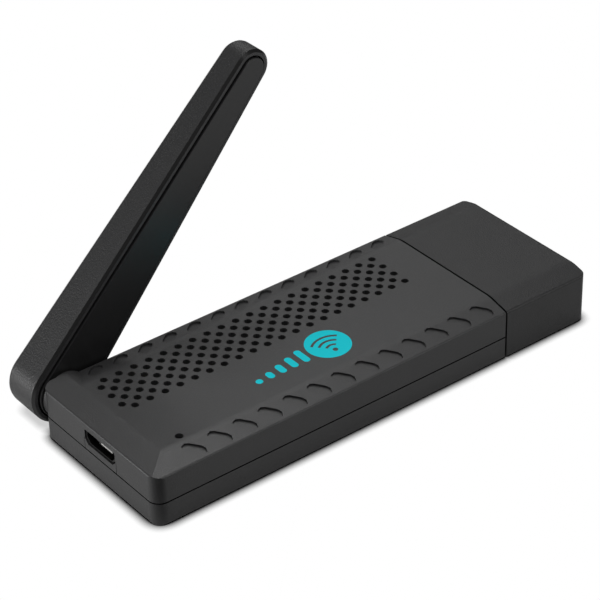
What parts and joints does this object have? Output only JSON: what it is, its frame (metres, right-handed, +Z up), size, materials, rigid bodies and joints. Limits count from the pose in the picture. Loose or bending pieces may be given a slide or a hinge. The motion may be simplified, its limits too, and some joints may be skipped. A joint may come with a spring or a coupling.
{
  "type": "wireless display adapter",
  "caption": "Slim black plastic stick with a television plug under a pull-off cap, a small power socket, a field of vent holes and a paddle antenna that folds out on a hinge.",
  "frame": {"origin": "middle of the flat underside of the closed stick, where it rests on a table", "axes": "+X from the power socket end to the cap end, +Y across the width towards the antenna, +Z up out of the vented top"},
  "size_m": [0.0877, 0.0389, 0.0522],
  "materials": {
    "shell_plastic": "fine moulded texture",
    "cap_plastic": "fine moulded texture",
    "antenna_plastic": "fine moulded texture, slightly smoother than the housing",
    "cover_plastic": "satin",
    "board_laminate": "green solder mask",
    "plug_steel": "nickel-plated folded sheet",
    "insulator_plastic": "moulded",
    "contact_gold": "gold flash",
    "chip_resin": "moulded resin",
    "pad_silicone": "soft grey gap pad",
    "spreader_aluminium": "black anodised sheet",
    "shield_tin": "tin-plated sheet",
    "coil_ferrite": "pressed ferrite",
    "capacitor_ceramic": "fired ceramic",
    "led_resin": "cast resin",
    "light_acrylic": "clear moulded",
    "bush_acetal": "natural acetal",
    "shaft_brass": "turned",
    "spring_steel": "stamped spring steel",
    "lead_jacket": "extruded jacket"
  },
  "bodies": {
    "adapter": {"top_shell": "shell_plastic", "bottom_shell": "shell_plastic", "main_board": "board_laminate", "plug_shell": "plug_steel", "plug_insulator": "insulator_plastic", "plug_contacts": "contact_gold", "usb_shell": "plug_steel", "usb_tongue": "insulator_plastic", "usb_contacts": "contact_gold", "main_chip": "chip_resin", "thermal_pad": "pad_silicone", "heat_spreader": "spreader_aluminium", "memory_chips": "chip_resin", "storage_chip": "chip_resin", "radio_module": "board_laminate", "shield_can": "shield_tin", "power_coils": "coil_ferrite", "power_chip": "chip_resin", "capacitors": "capacitor_ceramic", "crystal": "shield_tin", "status_led": "led_resin", "light_pipe": "light_acrylic", "hinge_bush": "bush_acetal", "friction_washer": "spring_steel", "board_lead": "lead_jacket", "lead_jack": "contact_gold"},
    "antenna": {"antenna_shell": "antenna_plastic", "antenna_cover": "cover_plastic", "antenna_strip": "board_laminate", "antenna_lead": "lead_jacket", "hinge_shaft": "shaft_brass", "hinge_clip": "spring_steel"},
    "cap": {"plug_cap": "cap_plastic"}
  },
  "joints": [
    {"name": "antenna_hinge", "type": "hinge", "parent": "adapter", "child": "antenna", "pos_m": [-0.039, 0.01555, 0.00572], "axis": [0, -1, 0], "range_deg": [-48, 132]},
    {"name": "cap_slide", "type": "slide", "parent": "adapter", "child": "cap", "axis": [1, 0, 0], "range_m": [0, 0.015]}
  ]
}
